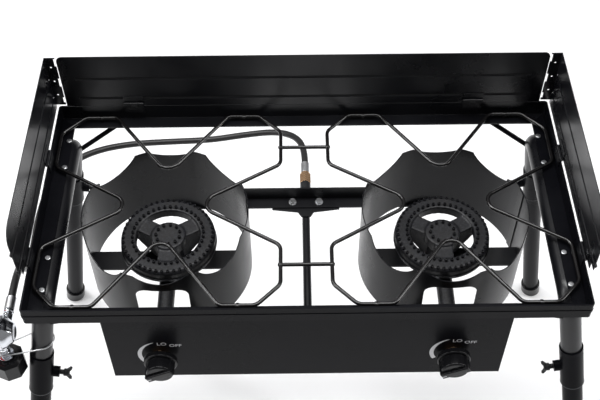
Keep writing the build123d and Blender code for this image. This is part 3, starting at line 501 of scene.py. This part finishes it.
# dials: a tapered arc and two words on the panel, and a white mark on each knob's bar
dialSetting = {
    "face": -0.2030, "height": 0.530, "thick": 0.00012,
    "radius": 0.0350, "start": 104.0, "end": 214.0, "steps": 40, "thin": 0.0005, "wide": 0.0062, "swell": 0.72,
    "words": (("LO", 0.0105, 0.0035, 0.0265), ("OFF", 0.0098, 0.0235, 0.0225)), "stretch": 1.08,
    "mark": {"front": -0.2415, "sunk": 0.0002, "reach": 0.0175, "turn": 208.0, "long": 0.0065, "wide": 0.0016,
             "deep": 0.0004}}


def slabFrom(outline, thick):
    mesh = bmesh.new()
    face = mesh.faces.new([mesh.verts.new((x, y, 0)) for x, y in outline])
    grown = bmesh.ops.extrude_face_region(mesh, geom=[face])
    tops = [part for part in grown["geom"] if isinstance(part, bmesh.types.BMVert)]
    bmesh.ops.translate(mesh, verts=tops, vec=(0, 0, thick))
    bmesh.ops.recalc_face_normals(mesh, faces=mesh.faces)
    return mesh


def arcSlab(setting):
    # thin at its first end, full width from where the swell is over
    outer = []
    inner = []
    sweep = setting["end"] - setting["start"]
    growth = setting["wide"] - setting["thin"]
    for step in range(setting["steps"] + 1):
        part = step / setting["steps"]
        angle = math.radians(setting["start"] + sweep * part)
        width = setting["thin"] + growth * math.sin(math.pi * min(part * setting["swell"], 0.5))
        for side, radius in ((outer, setting["radius"]), (inner, setting["radius"] - width)):
            side.append((radius * math.cos(angle), radius * math.sin(angle)))
    return slabFrom(outer + inner[::-1], setting["thick"])


def wordMesh(words, size, thick):
    curve = bpy.data.curves.new("wordHolder", "FONT")
    curve.body = words
    curve.size = size
    curve.align_x = "CENTER"
    curve.extrude = thick / 2
    holder = bpy.data.objects.new("wordHolder", curve)
    bpy.context.collection.objects.link(holder)
    bpy.context.view_layer.update()
    flat = bpy.data.meshes.new_from_object(holder)
    mesh = bmesh.new()
    mesh.from_mesh(flat)
    bmesh.ops.translate(mesh, verts=mesh.verts, vec=(0, 0, thick / 2))
    bpy.data.objects.remove(holder)
    bpy.data.curves.remove(curve)
    bpy.data.meshes.remove(flat)
    return mesh


def makeDial(name, x, setting):
    centre = Vector((x, setting["face"], setting["height"]))
    parts = [arcSlab(setting)]
    for words, size, right, rise in setting["words"]:
        word = wordMesh(words, size, setting["thick"])
        bmesh.ops.scale(word, vec=(setting["stretch"], 1, 1), verts=word.verts)
        bmesh.ops.translate(word, verts=word.verts, vec=(right, rise, 0))
        parts.append(word)
    legend = placed(joined(parts), centre, direction=(0, -1, 0), across=alongX)
    pieceOf(name + "DialPrint", legend, bodyOf["front_panel"], dialInk)
    mark = setting["mark"]
    half, side = mark["long"] / 2, mark["wide"] / 2
    slab = slabFrom(((-half, -side), (half, -side), (half, side), (-half, side)), mark["deep"])
    turn = math.radians(mark["turn"])
    spot = Vector((x + mark["reach"] * math.cos(turn), mark["front"] + mark["sunk"],
                   setting["height"] + mark["reach"] * math.sin(turn)))
    placed(slab, spot, direction=(0, -1, 0), across=(math.cos(turn), 0, math.sin(turn)))
    pieceOf(name + "KnobMark", slab, bodyOf[name + "_knob"], dialInk)


for name, x in burnerSides.items():
    makeDial(name, x, dialSetting)
print("dials printed")


# regulator: a dished chrome disc with a rolled rim, a ribbed neck and an outlet
regulatorSetting = {
    "centre": (-0.446, -0.186, 0.570), "neckTop": (-0.453, -0.194, 0.570), "discSteps": 72, "pipeSteps": 40,
    "disc": ((0, 0.0138), (0.008, 0.0138), (0.0095, 0.0148), (0.0125, 0.0150), (0.0145, 0.0140),
             (0.0185, 0.0085), (0.0215, 0.0060), (0.0230, 0.0020), (0.0245, -0.0002), (0.0258, 0.0004),
             (0.0268, -0.0006), (0.0270, -0.0030), (0.0266, -0.0050), (0.0250, -0.0058), (0.0238, -0.0066),
             (0.0236, -0.0110), (0.0215, -0.0140), (0.0180, -0.0150), (0.0070, -0.0150), (0.0060, -0.0160),
             (0.0060, -0.0210), (0, -0.0210)),
    "neck": ((0, 0), (0.0072, 0), (0.0072, -0.024), (0.0080, -0.025), (0.0080, -0.0285), (0.0070, -0.0295),
             (0.0070, -0.031), (0.0080, -0.032), (0.0080, -0.0355), (0.0070, -0.0365), (0.0070, -0.038),
             (0.0080, -0.039), (0.0080, -0.0425), (0.0070, -0.0435), (0.0070, -0.0465), (0.0120, -0.0475),
             (0.0122, -0.0505), (0, -0.0508)),
    "outlet": ((0, 0), (0.0080, 0), (0.0080, 0.030), (0.0068, 0.0315), (0.0068, 0.034), (0.0080, 0.035),
               (0.0080, 0.039), (0, 0.039))}


def makeRegulator(setting):
    centre = setting["centre"]
    disc = placed(spun(setting["disc"], setting["discSteps"]), centre, direction=(1, 0, 0), across=(0, 1, 0))
    neck = placed(spun(setting["neck"], setting["pipeSteps"]), setting["neckTop"], across=alongX)
    outlet = placed(spun(setting["outlet"], setting["pipeSteps"]), centre, direction=(0, 1, 0), across=alongX)
    pieceOf("regulatorFinished", joined([disc, neck, outlet]), bodyOf["regulator_body"], chromePlate,
            replaced=("regulator_body",), edge=0.0002)


makeRegulator(regulatorSetting)
print("regulator turned")


# wing bolts with two raised wings, and the bright lower edge of each leg socket
legSetting = {
    "elbow": (0.386, 0.162, 0.6035), "slope": (0.19, 0.178), "socketEnd": 0.187, "ringSteps": 48,
    "boltSteps": 28, "station": 0.1455, "boltStart": 0.0163, "headStart": 0.03425, "shank": 0.00392,
    "ear": ((0.0020, 0.0030), (0.0062, 0.0034), (0.0140, 0.0096), (0.0132, 0.0128), (0.0098, 0.0126),
            (0.0028, 0.0086)), "earThick": 0.0032,
    "edgeRing": ((0.01640, 0.0000), (0.01850, 0.0000), (0.01870, -0.0006), (0.01850, -0.0014),
                 (0.01640, -0.0014))}
legCorners = tuple((end + "_" + side, sx, sy) for side, sx in (("left", -1), ("right", 1))
                   for end, sy in (("front", -1), ("back", 1)))


def legLine(sx, sy, setting):
    # a leg's top corner and the way it leans
    corner = Vector((sx * setting["elbow"][0], sy * setting["elbow"][1], setting["elbow"][2]))
    lean = Vector((sx * setting["slope"][0], sy * setting["slope"][1], -1)).normalized()
    return corner, lean


def makeSocketEdges(setting):
    rings = []
    for corner, sx, sy in legCorners:
        top, lean = legLine(sx, sy, setting)
        rings.append(placed(turnedRing(setting["edgeRing"], setting["ringSteps"]),
                            top + lean * setting["socketEnd"], direction=lean))
    pieceOf("socketEdges", joined(rings), "stove", darkSteel)


def makeWingBolt(node, sx, sy, setting):
    top, lean = legLine(sx, sy, setting)
    across = (Vector((-sx, 0, 0)) + lean * sx * lean.x).normalized()
    spot = top + lean * setting["station"]
    head, shank = setting["headStart"], setting["shank"]
    profile = ((0, setting["boltStart"]), (shank, setting["boltStart"]), (shank, head - 0.0002), (0.0054, head),
               (0.0060, head + 0.0008), (0.0058, head + 0.0080), (0.0050, head + 0.0090), (0, head + 0.0090))
    parts = [placed(spun(profile, setting["boltSteps"]), spot, direction=across, across=lean)]
    for flip in (1, -1):
        ear = slabFrom([(x * flip, y) for x, y in setting["ear"]][::flip], setting["earThick"])
        bmesh.ops.translate(ear, verts=ear.verts, vec=(0, 0, -setting["earThick"] / 2))
        parts.append(placed(ear, spot + across * head, direction=lean.cross(across), across=lean))
    pieceOf(camel(node), joined(parts), bodyOf[node], castIron, replaced=(node,), edge=0.0004)


makeSocketEdges(legSetting)
for corner, sx, sy in legCorners:
    makeWingBolt(corner + "_wing_bolt", sx, sy, legSetting)
print("sockets and wing bolts done")


# weld beads where the grates, rails and links meet
weldSetting = {"radius": 0.0046, "flat": 0.72, "height": 0.630, "roundness": 2,
               "rows": ((0.122, (-0.038, 0.038)), (-0.112, (-0.038, 0.038)),
                        (0.193, (-0.3365, -0.0995, 0.0995, 0.3365)),
                        (-0.183, (-0.3365, -0.0995, 0.0995, 0.3365)))}


def makeWelds(setting):
    beads = []
    for y, row in setting["rows"]:
        for x in row:
            bead = bmesh.new()
            bmesh.ops.create_icosphere(bead, subdivisions=setting["roundness"], radius=setting["radius"])
            bmesh.ops.scale(bead, vec=(1, 1, setting["flat"]), verts=bead.verts)
            beads.append(placed(bead, (x, y, setting["height"]), across=alongX))
    pieceOf("grateWelds", joined(beads), bodyOf["grate_links"], wireEnamel, sharp=60.0)


makeWelds(weldSetting)
print("welds added")


# floor, light and surroundings
floorSetting = {"half": 6.0, "colour": (0.95, 0.95, 0.96), "rough": 0.6}
studioSetting = {
    "aim": (0.0, 0.0, 0.6), "surroundings": 0.27,
    "lights": (
        {"name": "overheadBox", "place": (0.0, 0.35, 3.3), "size": (2.4, 1.2), "power": 78.0},
        {"name": "keyStrip", "place": (-1.3, 0.7, 2.6), "size": (0.16, 1.6), "power": 22.0},
        {"name": "leftStrip", "place": (-2.3, -0.4, 1.9), "size": (0.5, 2.2), "power": 28.0},
        {"name": "rightStrip", "place": (2.3, -0.2, 1.9), "size": (0.5, 2.2), "power": 28.0})}


def makeFloor(setting):
    mesh = bmesh.new()
    bmesh.ops.create_grid(mesh, x_segments=1, y_segments=1, size=setting["half"])
    data = bpy.data.meshes.new("studioFloor")
    mesh.to_mesh(data)
    mesh.free()
    data.materials.append(newFinish("paleFloor", setting["colour"], 0.0, setting["rough"])[0])
    floor = bpy.data.objects.new("studioFloor", data)
    bpy.context.collection.objects.link(floor)


def makeLight(setting, aim):
    data = bpy.data.lights.new(setting["name"], "AREA")
    data.shape = "RECTANGLE"
    data.size, data.size_y = setting["size"]
    data.energy = setting["power"]
    lamp = bpy.data.objects.new(setting["name"], data)
    turn = (Vector(setting["place"]) - Vector(aim)).to_track_quat("Z", "Y").to_matrix().to_4x4()
    lamp.matrix_world = Matrix.Translation(setting["place"]) @ turn
    bpy.context.collection.objects.link(lamp)


def makeSurroundings(brightness):
    world = bpy.data.worlds.new("paleStudio")
    world.use_nodes = True
    world.node_tree.nodes["Background"].inputs["Color"].default_value = (1, 1, 1, 1)
    world.node_tree.nodes["Background"].inputs["Strength"].default_value = brightness
    bpy.context.scene.world = world


makeFloor(floorSetting)
for light in studioSetting["lights"]:
    makeLight(light, studioSetting["aim"])
makeSurroundings(studioSetting["surroundings"])
bpy.context.scene.view_settings.view_transform = "Standard"
print("studio lit")
